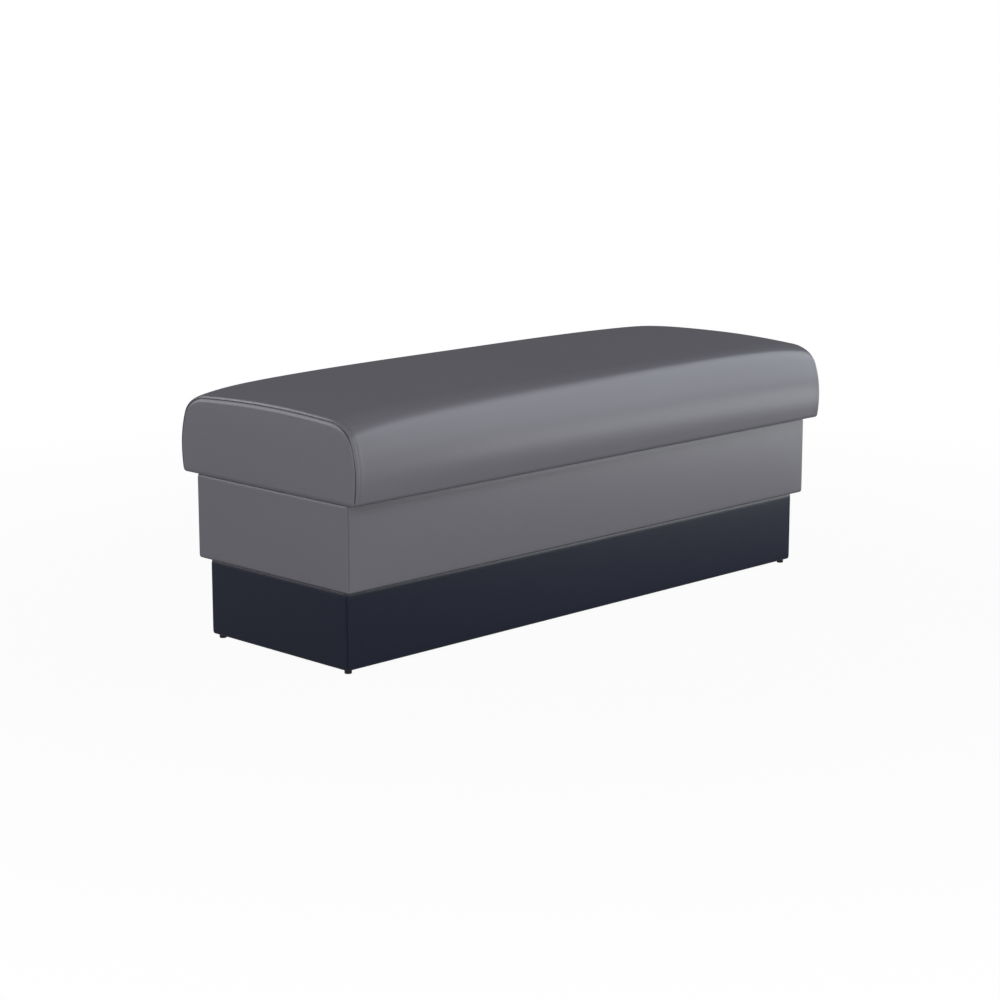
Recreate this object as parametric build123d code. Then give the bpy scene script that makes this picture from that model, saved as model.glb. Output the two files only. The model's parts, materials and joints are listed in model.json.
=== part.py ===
from build123d import *
import os
from math import asin, cos, degrees, radians, sin

# Waiting room bench: an upholstered plinth, a wider upholstered box and a wider seat on top.
# Millimetres. +Z up, +X along the bench, the front looks towards -Y.
# The origin is on the floor, under the middle of the bench.

# Sheet and board stock
vinyl = 1.2
dust_cloth = 0.8
board = 18.0
layer_gap = 0.8
cut_overrun = 1.0

# Screw-in glides and the inserts that hold them
foot_diameter = 12.7
foot_height = 7.2
foot_round = 1.0
stem_diameter = 6.0
stem_reach = 25.0
stem_grip = 5.0
stem_chamfer = 0.8
thread_clearance = 0.05
insert_diameter = 10.0
insert_flange_diameter = 12.0
insert_length = 13.0
insert_clearance = 0.1
stem_well_depth = 30.0
stem_well_clearance = 0.5

# Plinth
plinth_end_recess = 11.4
plinth_side_recess = 19.2
plinth_height = 137.1
plinth_padding = 3.0
plinth_edge_radius = 4.0
plinth_tuck = 20.0
batten_size = 30.0
plinth_block_size = 30.0
cross_member_spacing = 384.0

# Cloth under the plinth
cloth_inset = 10.0
cloth_corner_cut = 22.0

# Box
box_end_recess = 8.6
box_side_recess = 26.0
box_height = 152.7
box_padding = 5.0
box_edge_radius = 5.0
box_tuck = 34.0
box_rail_width = 60.0

# Seat: its end profile is a chain of arcs from the underside up to the middle of the top
seat_length = 1219.0
seat_bulge_depth = 457.8
seat_draw_in = 4.6
seat_bulge_height = 44.2
seat_low_edge_radius = 5.0
seat_side_radius = 168.0
seat_side_angle = 20.3
seat_shoulder_radius = 44.8
seat_shoulder_angle = 61.0
seat_roll_radius = 74.6
seat_roll_angle = 86.0
seat_crown = 22.4
seat_end_radius = 1.8
seat_seam_setback = 2.4
seat_wadding = 6.0
seat_base_foam = 60.0
seat_tuck = 68.0

# How the crown fades towards each end, and how the seat's sections crowd together there
crown_power_share = 3.54
crown_root_share = 0.485
section_steps = 8
section_turn = 75.0

# Wood screws
frame_screw_diameter = 4.2
frame_screw_head = 8.4
frame_screw_length = 50.0
tier_screw_diameter = 5.0
tier_screw_head = 10.0
tier_screw_length = 45.0
tier_screw_end_inset = 87.3
screw_clearance = 0.1
plinth_screw_low = 40.0
plinth_screw_rise = 45.0
box_screw_low = 45.0
box_screw_rise = 60.0

# Seat bolts, with washers and tee nuts
bolt_diameter = 6.0
bolt_head_across = 10.0
bolt_head_height = 4.0
bolt_spacing = 420.0
washer_diameter = 16.0
washer_thickness = 1.6
tee_flange_diameter = 19.0
tee_flange_thickness = 1.5
tee_barrel_diameter = 8.0
tee_barrel_length = 11.0

# Staples
staple_crown = 10.0
staple_width = 1.0
staple_thickness = 0.6
staple_leg = 10.0
staple_pitch = 200.0
plinth_staple_inset = 15.0
box_staple_inset = 30.0
seat_staple_inset = 60.0
staple_corner_gap = 60.0

# Each tier stands back from the one above it
seat_base_depth = seat_bulge_depth - 2 * seat_draw_in
box_length = seat_length - 2 * box_end_recess
box_depth = seat_base_depth - 2 * box_side_recess
plinth_length = box_length - 2 * plinth_end_recess
plinth_depth = box_depth - 2 * plinth_side_recess

# Heights above the floor
plinth_bottom = foot_height
plinth_top = plinth_bottom + plinth_height
box_bottom = plinth_top
box_top = box_bottom + box_height
seat_bottom = box_top
seat_board_bottom = seat_bottom + vinyl
seat_board_top = seat_board_bottom + board

# Wooden frames inside the padding and the cover
plinth_skin = vinyl + plinth_padding
plinth_frame_length = plinth_length - 2 * plinth_skin
plinth_frame_depth = plinth_depth - 2 * plinth_skin
plinth_frame_bottom = plinth_bottom + vinyl
plinth_frame_top = plinth_top - vinyl
box_skin = vinyl + box_padding
box_frame_length = box_length - 2 * box_skin
box_frame_depth = box_depth - 2 * box_skin
box_frame_bottom = box_bottom + vinyl
box_frame_top = box_top - vinyl
plinth_inner_x = plinth_frame_length / 2 - board
tier_screw_x = plinth_inner_x - tier_screw_end_inset
plinth_inner_y = plinth_frame_depth / 2 - board
box_inner_x = box_frame_length / 2 - board
box_inner_y = box_frame_depth / 2 - board
batten_bottom = plinth_frame_top - batten_size
glide_x = plinth_inner_x + board / 2
glide_y = plinth_inner_y + board / 2

# Layers of the seat, as insets from its outer surface
wadding_inset = vinyl + layer_gap
foam_inset = wadding_inset + seat_wadding + layer_gap
bolt_line_y = box_inner_y - box_rail_width / 2

sides = {"front": (0, -1), "back": (0, 1), "left": (-1, 0), "right": (1, 0)}
corners = {
    "front_left": (-1, -1),
    "front_right": (1, -1),
    "back_left": (-1, 1),
    "back_right": (1, 1),
}


# Basic shapes
def block(x_span, y_span, z_span):
    """A box between two limits on each axis."""
    size = [high - low for low, high in (x_span, y_span, z_span)]
    middle = [(high + low) / 2 for low, high in (x_span, y_span, z_span)]
    return Pos(*middle) * Box(*size)


def both_ways(half):
    """The limits of a length that is centred on zero."""
    return (-half, half)


def outward(sign, low, high):
    """The limits low to high, measured out from the middle on one side."""
    return (low, high) if sign > 0 else (-high, -low)


def prism(points, z_span):
    """A flat outline pulled up between two heights."""
    outline = Plane.XY.offset(z_span[0]) * Polygon(*points, align=None)
    return extrude(outline, amount=z_span[1] - z_span[0], dir=(0, 0, 1))


def rounded_block(length, depth, z_span, radius):
    """A block with every edge rounded alike."""
    body = block(both_ways(length / 2), both_ways(depth / 2), z_span)
    return fillet(body.edges(), radius)


def turned(profile):
    """A solid of revolution about the vertical axis from (radius, height) points."""
    outline = Plane.XZ * Polygon(*profile, align=None)
    return revolve(outline, axis=Axis.Z)


def standing_bar(radius, height):
    """A round bar that stands on zero height."""
    return Cylinder(radius, height, align=(Align.CENTER, Align.CENTER, Align.MIN))


def group(pieces):
    """Separate solids that share one node."""
    return Compound([solid for piece in pieces for solid in piece.solids()])


def meet(one, other):
    """Whether two bounding boxes share any space."""
    return all(
        getattr(one.min, axis) < getattr(other.max, axis)
        and getattr(other.min, axis) < getattr(one.max, axis)
        for axis in "XYZ"
    )


def cut(piece, tools):
    """A piece less those of the tools that reach into it."""
    room = piece.bounding_box()
    near = [tool for tool in tools if meet(room, tool.bounding_box())]
    return piece - near if near else piece


# Places that repeat along a side
def rung_places(half_run, pitch):
    """Evenly spread places between two ends, no further apart than the pitch."""
    gaps = max(1, round(2 * half_run / pitch))
    return [-half_run + 2 * half_run * step / gaps for step in range(gaps + 1)]


def rim_places(length, depth, inset):
    """Staple places on a rim: x, y and whether the crown lies along the bench."""
    line_x = length / 2 - inset
    line_y = depth / 2 - inset
    places = []
    for x in rung_places(length / 2 - staple_corner_gap, staple_pitch):
        places += [(x, -line_y, True), (x, line_y, True)]
    for y in rung_places(depth / 2 - staple_corner_gap, staple_pitch):
        places += [(-line_x, y, False), (line_x, y, False)]
    return places


# Fasteners
def staple(x, y, along, face, up):
    """A staple whose crown is pressed flush into a cover's face, its legs in the wood."""
    out = staple_crown / 2
    within = out - staple_thickness
    outline = Polygon(
        (-out, 0), (out, 0), (out, staple_leg), (within, staple_leg), (within, staple_thickness),
        (-within, staple_thickness), (-within, staple_leg), (-out, staple_leg), align=None,
    )
    form = extrude(Plane.XZ * outline, amount=staple_width / 2, both=True)
    return Pos(x, y, face) * Rot(X=0 if up else 180) * Rot(Z=0 if along else 90) * form


def screw_form(diameter, head, length, grow=0.0):
    """A countersunk wood screw from its head at zero height to its point below."""
    radius = diameter / 2 + grow
    head_radius = head / 2 + grow
    profile = [
        (0, 0),
        (head_radius, 0),
        (radius, radius - head_radius),
        (radius, diameter - length),
        (0, -length - grow),
    ]
    return turned(profile)


def side_screws(frame_depth, member_places, heights, grow=0.0):
    """Screws through the front and back boards into the members that run across."""
    form = screw_form(frame_screw_diameter, frame_screw_head, frame_screw_length, grow)
    screws = []
    for sign in (-1, 1):
        lying = Rot(X=-90 * sign) * form
        for x in member_places:
            screws += [Pos(x, sign * frame_depth / 2, z) * lying for z in heights]
    return screws


def tier_screws(grow=0.0):
    """Upright screws through the plinth's battens into the rails under the box."""
    form = Rot(X=180) * screw_form(tier_screw_diameter, tier_screw_head, tier_screw_length, grow)
    line = plinth_inner_y - batten_size / 2
    return [
        Pos(x, sign * line, batten_bottom) * form
        for sign in (-1, 1)
        for x in (-tier_screw_x, 0, tier_screw_x)
    ]


def bolt_places():
    return [
        (x, sign * bolt_line_y) for sign in (-1, 1) for x in (-bolt_spacing, 0, bolt_spacing)
    ]


def uprights(radius, z_span):
    """A plain round bar at each seat bolt's place."""
    low, high = z_span[0] - cut_overrun, z_span[1] + cut_overrun
    return [Pos(x, y, low) * standing_bar(radius, high - low) for x, y in bolt_places()]


def seat_bolt(x, y):
    """A hexagon bolt, from its head under the top rail to the top of the seat board."""
    seat_of_head = box_frame_top - board - washer_thickness
    head = extrude(RegularPolygon(bolt_head_across / 2, 6, major_radius=False), -bolt_head_height)
    shank_length = seat_board_top - seat_of_head
    return Pos(x, y, seat_of_head) * (head + standing_bar(bolt_diameter / 2, shank_length))


def washer(x, y):
    outline = Circle(washer_diameter / 2) - Circle(bolt_diameter / 2 + screw_clearance)
    return Pos(x, y, box_frame_top - board) * extrude(outline, -washer_thickness)


def tee_nut(grow=0.0, bored=True):
    """A tee nut with its flange flush in the top of the seat board."""
    flange = Circle(tee_flange_diameter / 2 + grow)
    barrel = Circle(tee_barrel_diameter / 2 + grow)
    body = extrude(flange, -tee_flange_thickness) + extrude(barrel, -tee_barrel_length - grow)
    if bored:
        bore = Circle(bolt_diameter / 2 + thread_clearance)
        body -= extrude(bore, -tee_barrel_length - cut_overrun)
    return body


def tee_nuts(grow=0.0, bored=True):
    return [Pos(x, y, seat_board_top) * tee_nut(grow, bored) for x, y in bolt_places()]


# Glides
def glide_foot():
    """A moulded foot with a rounded tread, and a blind hole for the stem."""
    radius = foot_diameter / 2
    flank = foot_height - foot_round
    outline = [
        Line((0, 0), (radius - foot_round, 0)),
        CenterArc((radius - foot_round, foot_round), foot_round, -90, 90),
        Line((radius, foot_round), (radius, flank)),
        CenterArc((radius - foot_round, flank), foot_round, 0, 90),
        Line((radius - foot_round, foot_height), (0, foot_height)),
        Line((0, foot_height), (0, 0)),
    ]
    body = revolve(Plane.XZ * make_face(outline), axis=Axis.Z)
    hole = standing_bar(stem_diameter / 2, stem_grip + cut_overrun)
    return body - Pos(0, 0, foot_height - stem_grip) * hole


def glide_stem():
    """A threaded stem, moulded into the foot, drawn plain at its outer diameter."""
    radius = stem_diameter / 2
    low = foot_height - stem_grip
    high = foot_height + stem_reach
    return turned([
        (0, low),
        (radius, low),
        (radius, high - stem_chamfer),
        (radius - stem_chamfer, high),
        (0, high),
    ])


def insert_form(grow=0.0):
    """A flanged insert, its flange level with the underside of the cover."""
    barrel = insert_diameter / 2 + grow
    flange = insert_flange_diameter / 2 + grow
    low = plinth_bottom - grow
    step = plinth_frame_bottom
    high = plinth_frame_bottom + insert_length + grow
    return turned([(0, low), (flange, low), (flange, step), (barrel, step), (barrel, high), (0, high)])


def threaded_insert():
    high = plinth_frame_bottom + insert_length + cut_overrun
    bore = standing_bar(stem_diameter / 2 + thread_clearance, high - plinth_bottom + cut_overrun)
    return insert_form() - Pos(0, 0, plinth_bottom - cut_overrun) * bore


def at_glides(form):
    return {name: Pos(sx * glide_x, sy * glide_y, 0) * form for name, (sx, sy) in corners.items()}


def glide_wells():
    """What the inserts and the stems above them take out of the plinth's rails."""
    well = standing_bar(stem_diameter / 2 + stem_well_clearance, stem_well_depth)
    form = insert_form(insert_clearance) + Pos(0, 0, plinth_frame_bottom) * well
    return list(at_glides(form).values())


# Covers and padding of the two lower tiers
def tier_shell(length, depth, z_span, radius, tuck):
    """A sheet wrapped round a tier, tucked over its top and bottom rims."""
    low, high = z_span
    outer = rounded_block(length, depth, z_span, radius)
    inner_span = (low + vinyl, high - vinyl)
    inner = rounded_block(length - 2 * vinyl, depth - 2 * vinyl, inner_span, radius - vinyl)
    opening = block(
        both_ways(length / 2 - tuck),
        both_ways(depth / 2 - tuck),
        (low - cut_overrun, high + cut_overrun),
    )
    return outer - inner - opening


def mitre_zone(side, length, depth, tuck, z_span):
    """The part of a rim that belongs to one side, mitred at 45 degrees at its ends."""
    x_out, y_out = length / 2 + cut_overrun, depth / 2 + cut_overrun
    x_in, y_in = length / 2 - tuck - cut_overrun, depth / 2 - tuck - cut_overrun
    sx, sy = sides[side]
    if sy:
        points = [(-x_out, sy * y_out), (x_out, sy * y_out), (x_in, sy * y_in), (-x_in, sy * y_in)]
    else:
        points = [(sx * x_out, -y_out), (sx * x_out, y_out), (sx * x_in, y_in), (sx * x_in, -y_in)]
    return prism(points, z_span)


def tier_covers(tier, length, depth, z_span, radius, tuck, cuts):
    """The four cover panels of a tier, sewn at the corners."""
    shell = tier_shell(length, depth, z_span, radius, tuck)
    reach = (z_span[0] - cut_overrun, z_span[1] + cut_overrun)
    return {
        f"{tier}_{side}_cover": cut(shell & mitre_zone(side, length, depth, tuck, reach), cuts)
        for side in sides
    }


def tier_padding(length, depth, z_span, radius, frame_length, frame_depth):
    """The band of foam between a tier's wooden frame and its cover."""
    low, high = z_span
    inner_span = (low + vinyl, high - vinyl)
    band = rounded_block(length - 2 * vinyl, depth - 2 * vinyl, inner_span, radius - vinyl)
    frame = block(
        both_ways(frame_length / 2),
        both_ways(frame_depth / 2),
        (low - cut_overrun, high + cut_overrun),
    )
    return band - frame


# Plinth
def plinth_screws(grow=0.0):
    low = plinth_frame_bottom + plinth_screw_low
    heights = (low, low + plinth_screw_rise)
    places = (-glide_x, -cross_member_spacing / 2, cross_member_spacing / 2, glide_x)
    return side_screws(plinth_frame_depth, places, heights, grow)


def plinth_staples():
    """Staples through the cloth and the cover below, and through the cover above."""
    places = rim_places(plinth_length, plinth_depth, plinth_staple_inset)
    low = [staple(x, y, along, plinth_bottom - dust_cloth, True) for x, y, along in places]
    high = [staple(x, y, along, plinth_top, False) for x, y, along in places]
    return low + high


def plinth_frame(cuts):
    """Rails, cross rails, battens and corner blocks of the plinth."""
    full = (plinth_frame_bottom, plinth_frame_top)
    low = (plinth_frame_bottom, batten_bottom)
    screw_holes = tier_screws(screw_clearance)
    pieces = {}
    for side in ("front", "back"):
        y_span = outward(sides[side][1], plinth_inner_y, plinth_frame_depth / 2)
        pieces[f"plinth_{side}_rail"] = cut(block(both_ways(plinth_frame_length / 2), y_span, full), cuts)
        batten_y = outward(sides[side][1], plinth_inner_y - batten_size, plinth_inner_y)
        batten = block(both_ways(plinth_inner_x), batten_y, (batten_bottom, plinth_frame_top))
        pieces[f"plinth_{side}_batten"] = cut(batten, screw_holes)
    for side in ("left", "right"):
        x_sign = sides[side][0]
        end_x = outward(x_sign, plinth_inner_x, plinth_frame_length / 2)
        pieces[f"plinth_{side}_end_rail"] = cut(block(end_x, both_ways(plinth_inner_y), full), cuts)
        middle = x_sign * cross_member_spacing / 2
        cross_x = (middle - board / 2, middle + board / 2)
        pieces[f"plinth_{side}_cross_rail"] = cut(block(cross_x, both_ways(plinth_inner_y), low), cuts)
    blocks = []
    for x_sign, y_sign in corners.values():
        block_x = outward(x_sign, plinth_inner_x - plinth_block_size, plinth_inner_x)
        block_y = outward(y_sign, plinth_inner_y - plinth_block_size, plinth_inner_y)
        blocks.append(block(block_x, block_y, low))
    pieces["plinth_corner_blocks"] = group(blocks)
    return pieces


def dust_cover(staples):
    """The black cloth stapled under the plinth, cut off at the corners to clear the glides."""
    x, y = plinth_length / 2 - cloth_inset, plinth_depth / 2 - cloth_inset
    near_x, near_y = x - cloth_corner_cut, y - cloth_corner_cut
    points = [
        (-near_x, -y), (near_x, -y), (x, -near_y), (x, near_y),
        (near_x, y), (-near_x, y), (-x, near_y), (-x, -near_y),
    ]
    return cut(prism(points, (plinth_bottom - dust_cloth, plinth_bottom)), staples)


def plinth():
    staples = plinth_staples()
    wells = glide_wells()
    size = plinth_length, plinth_depth, (plinth_bottom, plinth_top), plinth_edge_radius
    pieces = plinth_frame(plinth_screws(screw_clearance) + staples + wells)
    pieces.update(tier_covers("plinth", *size, plinth_tuck, staples + wells))
    pieces["plinth_padding"] = tier_padding(*size, plinth_frame_length, plinth_frame_depth)
    pieces["dust_cover"] = dust_cover(staples)
    pieces["plinth_screws"] = group(plinth_screws())
    pieces["plinth_staples"] = group(staples)
    return pieces


# Box
def box_screws(grow=0.0):
    low = box_frame_bottom + box_screw_low
    heights = (low, low + box_screw_rise)
    end = box_inner_x + board / 2
    places = (-end, -cross_member_spacing / 2, cross_member_spacing / 2, end)
    return side_screws(box_frame_depth, places, heights, grow)


def box_staples():
    places = rim_places(box_length, box_depth, box_staple_inset)
    low = [staple(x, y, along, box_bottom, True) for x, y, along in places]
    high = [staple(x, y, along, box_top, False) for x, y, along in places]
    return low + high


def box_rails(level, z_span, cuts):
    """A flat rectangle of rails: two along the bench, two across between them."""
    pieces = {}
    inner_y = box_inner_y - box_rail_width
    for side in ("front", "back"):
        y_span = outward(sides[side][1], inner_y, box_inner_y)
        pieces[f"box_{level}_{side}_rail"] = cut(block(both_ways(box_inner_x), y_span, z_span), cuts)
    for side in ("left", "right"):
        x_span = outward(sides[side][0], box_inner_x - box_rail_width, box_inner_x)
        pieces[f"box_{level}_{side}_rail"] = cut(block(x_span, both_ways(inner_y), z_span), cuts)
    return pieces


def box_frame(staples):
    """Panels, rails and dividers of the box."""
    full = (box_frame_bottom, box_frame_top)
    low_rails = (box_frame_bottom, box_frame_bottom + board)
    high_rails = (box_frame_top - board, box_frame_top)
    cuts = box_screws(screw_clearance) + staples
    pieces = {}
    for side in ("front", "back"):
        y_span = outward(sides[side][1], box_inner_y, box_frame_depth / 2)
        pieces[f"box_{side}_panel"] = cut(block(both_ways(box_frame_length / 2), y_span, full), cuts)
    for side in ("left", "right"):
        x_sign = sides[side][0]
        end_x = outward(x_sign, box_inner_x, box_frame_length / 2)
        pieces[f"box_{side}_end_panel"] = cut(block(end_x, both_ways(box_inner_y), full), cuts)
        middle = x_sign * cross_member_spacing / 2
        divider_x = (middle - board / 2, middle + board / 2)
        divider = block(divider_x, both_ways(box_inner_y), (low_rails[1], high_rails[0]))
        pieces[f"box_{side}_divider"] = cut(divider, cuts)
    pieces.update(box_rails("bottom", low_rails, staples + tier_screws(screw_clearance)))
    bolt_holes = uprights(bolt_diameter / 2 + screw_clearance, high_rails)
    pieces.update(box_rails("top", high_rails, staples + bolt_holes))
    return pieces


def box():
    staples = box_staples()
    size = box_length, box_depth, (box_bottom, box_top), box_edge_radius
    pieces = box_frame(staples)
    pieces.update(tier_covers("box", *size, box_tuck, staples))
    pieces["box_padding"] = tier_padding(*size, box_frame_length, box_frame_depth)
    pieces["box_screws"] = group(box_screws())
    pieces["box_staples"] = group(staples)
    pieces["tier_screws"] = group(tier_screws())
    return pieces


# Seat
def flank_radius():
    """The radius of the side below its widest line, from how far the underside draws in."""
    return (seat_bulge_height**2 + seat_draw_in**2) / (2 * seat_draw_in)


def arc_points(radius, centre, turns):
    """Start, middle and end of an arc, with its angles turned up from level."""
    first, last = turns
    angles = [radians(turn) for turn in (first, (first + last) / 2, last)]
    return [(centre[0] + radius * cos(angle), centre[1] + radius * sin(angle)) for angle in angles]


def low_side_arcs(inset, floor, edge):
    """The rounded low edge, if there is one, and the drawn-in side up to the widest line."""
    radius = flank_radius() - inset
    centre = (seat_bulge_depth / 2 - inset - radius, seat_bulge_height)
    start = asin((seat_bulge_height - floor - edge) / radius)
    side = arc_points(radius, centre, (-degrees(start), 0))
    if edge <= 0:
        return [side]
    corner = arc_points(edge, (side[0][0] - edge, side[0][1]), (-90, 0))
    return [corner, side]


def high_side_arcs(inset):
    """The arcs from the widest line over the shoulder to where the top begins."""
    chain = (
        (seat_side_radius, seat_side_angle),
        (seat_shoulder_radius, seat_shoulder_angle),
        (seat_roll_radius, seat_roll_angle),
    )
    point, turn, arcs = (seat_bulge_depth / 2 - inset, seat_bulge_height), 0, []
    for full_radius, next_turn in chain:
        radius = full_radius - inset
        centre = (point[0] - radius * cos(radians(turn)), point[1] - radius * sin(radians(turn)))
        arcs.append(arc_points(radius, centre, (turn, next_turn)))
        point, turn = arcs[-1][-1], next_turn
    return arcs


def top_arc(start):
    """The gently curved top, from one roll to the other."""
    radius = start[0] / cos(radians(seat_roll_angle))
    height = start[1] + radius * (1 - sin(radians(seat_roll_angle)))
    return [start, (0, height), (-start[0], start[1])]


def seat_end_height():
    return top_arc(high_side_arcs(0)[-1][-1])[1][1]


def seat_section(x, lift, inset, floor, edge):
    """One closed outline across the seat, stretched upwards by the crown there."""
    half = low_side_arcs(inset, floor, edge) + high_side_arcs(inset)
    top = top_arc(half[-1][-1])
    other = [[(-y, z) for y, z in reversed(arc)] for arc in reversed(half)]

    def placed(point):
        return (x, point[0], seat_bottom + floor + (point[1] - floor) * lift)

    arcs = [[placed(point) for point in arc] for arc in half + [top] + other]
    edges = [Edge.make_three_point_arc(*arc) for arc in arcs]
    edges.append(Edge.make_line(arcs[-1][-1], arcs[0][0]))
    return Wire(edges)


def seat_form(inset, floor, edge=0.0):
    """The seat's crowned form, drawn in by an inset and cut flat at a floor."""
    sections = []
    for step in range(-section_steps, section_steps + 1):
        share = sin(radians(section_turn * step / section_steps)) / sin(radians(section_turn))
        fade = (1 - abs(share) ** crown_power_share) ** crown_root_share
        lift = 1 + fade * seat_crown / seat_end_height()
        x = share * (seat_length / 2 - inset)
        sections.append(seat_section(x, lift, inset, floor, edge))
    return Solid.make_loft(sections)


def seat_shell():
    """The whole seat cover as one sheet, open in the middle of its underside."""
    outer = seat_form(0, 0, seat_low_edge_radius)
    ends = [edge for edge in outer.edges() if abs(edge.center().X) > seat_length / 2 - vinyl]
    outer = outer.fillet(seat_end_radius, ends)
    inner = seat_form(vinyl, vinyl, seat_low_edge_radius - vinyl)
    opening = block(
        both_ways(seat_length / 2 - seat_tuck),
        both_ways(seat_base_depth / 2 - seat_tuck),
        (seat_bottom - cut_overrun, seat_board_bottom + cut_overrun),
    )
    return outer - inner - opening


def left_end_zone():
    """The room of the left end panel: the end itself and its mitred tuck under the board."""
    half_length = seat_length / 2
    span = (-half_length - cut_overrun, seat_seam_setback - half_length)
    high = seat_bottom + 2 * seat_end_height()
    end = block(span, both_ways(seat_bulge_depth), (seat_bottom - cut_overrun, high))
    tuck_span = (seat_bottom - cut_overrun, seat_board_bottom)
    return end + mitre_zone("left", seat_length, seat_base_depth, seat_tuck, tuck_span)


def seat_covers(staples):
    """The wrapped main panel and the two flat end panels, split at the end seams."""
    shell = seat_shell()
    zone = left_end_zone()
    left = cut(shell & zone, staples)
    main = cut(shell - [zone, mirror(zone, Plane.YZ)], staples)
    return {
        "seat_left_end_cover": left,
        "seat_right_end_cover": mirror(left, Plane.YZ),
        "seat_main_cover": main,
    }


def seat_staples():
    places = rim_places(seat_length, seat_base_depth, seat_staple_inset)
    return [staple(x, y, along, seat_bottom, True) for x, y, along in places]


def seat_board_piece(staples):
    half_length = seat_length / 2 - foam_inset
    half_depth = seat_base_depth / 2 - foam_inset
    body = block(both_ways(half_length), both_ways(half_depth), (seat_board_bottom, seat_board_top))
    holes = uprights(bolt_diameter / 2 + screw_clearance, (seat_board_bottom, seat_board_top))
    return cut(body, holes + tee_nuts(screw_clearance, False) + staples)


def seat_foams():
    """A firm slab on the board and a softer crowned top on it."""
    core = seat_form(foam_inset, vinyl)
    slab_top = seat_board_top + seat_base_foam
    reach = both_ways(seat_length), both_ways(seat_bulge_depth)
    slab = core & block(*reach, (seat_board_top, slab_top))
    top = core & block(*reach, (slab_top, seat_bottom + 2 * seat_end_height()))
    return {"seat_base_foam": slab, "seat_top_foam": top}


def seat_wadding_wrap():
    """Fibre wadding over the foam's top and sides, open underneath."""
    outer = seat_form(wadding_inset, vinyl, seat_low_edge_radius - wadding_inset)
    inner = seat_form(wadding_inset + seat_wadding, vinyl - cut_overrun)
    return outer - inner


def seat():
    staples = seat_staples()
    pieces = {"seat_board": seat_board_piece(staples), "seat_wadding": seat_wadding_wrap()}
    pieces.update(seat_foams())
    pieces.update(seat_covers(staples))
    pieces["seat_bolts"] = group([seat_bolt(x, y) for x, y in bolt_places()])
    pieces["seat_washers"] = group([washer(x, y) for x, y in bolt_places()])
    pieces["seat_tee_nuts"] = group(tee_nuts())
    pieces["seat_staples"] = group(staples)
    return pieces


def glides():
    pieces = {f"glide_foot_{name}": foot for name, foot in at_glides(glide_foot()).items()}
    pieces.update({f"glide_stem_{name}": stem for name, stem in at_glides(glide_stem()).items()})
    pieces["glide_inserts"] = group(at_glides(threaded_insert()).values())
    return pieces


os.makedirs("parts", exist_ok=True)
for node, shape in {**glides(), **plinth(), **box(), **seat()}.items():
    export_step(shape, f"parts/{node}.step")
    print(node, len(shape.solids()), round(shape.volume))
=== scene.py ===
import bpy
import bmesh
import json
import math
from mathutils import Matrix, Vector
from mathutils.bvhtree import BVHTree


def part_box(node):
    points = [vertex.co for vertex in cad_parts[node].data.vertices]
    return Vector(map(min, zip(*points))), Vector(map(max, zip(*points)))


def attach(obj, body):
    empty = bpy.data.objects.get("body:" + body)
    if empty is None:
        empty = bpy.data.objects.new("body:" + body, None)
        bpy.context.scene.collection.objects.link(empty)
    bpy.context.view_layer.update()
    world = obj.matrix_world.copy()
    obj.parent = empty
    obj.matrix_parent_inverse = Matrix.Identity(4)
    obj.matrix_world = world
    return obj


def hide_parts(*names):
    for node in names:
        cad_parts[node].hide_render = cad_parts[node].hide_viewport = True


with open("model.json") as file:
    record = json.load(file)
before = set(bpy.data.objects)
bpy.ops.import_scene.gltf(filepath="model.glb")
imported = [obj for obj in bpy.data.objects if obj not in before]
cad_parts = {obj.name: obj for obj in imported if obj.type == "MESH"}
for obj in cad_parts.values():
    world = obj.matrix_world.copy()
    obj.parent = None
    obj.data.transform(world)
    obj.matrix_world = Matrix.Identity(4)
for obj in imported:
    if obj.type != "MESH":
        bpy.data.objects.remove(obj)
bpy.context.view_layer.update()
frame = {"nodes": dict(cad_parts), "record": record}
print("frame loaded:", len(frame["nodes"]), "CAD nodes")


# the camera, solved from the photograph's straight edges
viewpoint = {
    "place": (-3.2826, -3.2221, 1.1477),
    "turn": 45.104,  # degrees from +Y towards +X
    "tilt": 11.791,  # degrees below level
    "lens": 90.55,
    "sensor": 36.0,
    "nearest": 0.05,
    "farthest": 60,
}


def placeCamera():
    data = bpy.data.cameras.new("photoCamera")
    data.lens = viewpoint["lens"]
    data.sensor_width = viewpoint["sensor"]
    data.clip_start = viewpoint["nearest"]
    data.clip_end = viewpoint["farthest"]
    camera = bpy.data.objects.new("photoCamera", data)
    camera.location = viewpoint["place"]
    camera.rotation_euler = (math.radians(90 - viewpoint["tilt"]), 0, -math.radians(viewpoint["turn"]))
    bpy.context.scene.collection.objects.link(camera)
    bpy.context.scene.camera = camera


placeCamera()
print("camera placed")


def startMaterial(name):
    material = bpy.data.materials.new(name)
    material.use_nodes = True
    shader = material.node_tree.nodes["Principled BSDF"]
    return material, material.node_tree, shader


def addNode(tree, kind, values=None, **settings):
    node = tree.nodes.new(kind)
    for key, value in settings.items():
        setattr(node, key, value)
    for key, value in (values or {}).items():
        node.inputs[key].default_value = value
    return node


def objectPlace(tree, stretch=(1, 1, 1), turn=(0, 0, 0)):
    # object coordinates, stretched and turned for the pattern that reads them
    where = addNode(tree, "ShaderNodeTexCoord")
    mapping = addNode(tree, "ShaderNodeMapping", {"Scale": stretch, "Rotation": turn})
    tree.links.new(where.outputs["Object"], mapping.inputs["Vector"])
    return mapping.outputs["Vector"]


def noise(tree, place, scale, detail=3.0, roughness=0.5):
    node = addNode(tree, "ShaderNodeTexNoise", {"Scale": scale, "Detail": detail, "Roughness": roughness})
    tree.links.new(place, node.inputs["Vector"])
    return node.outputs["Fac"]


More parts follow.
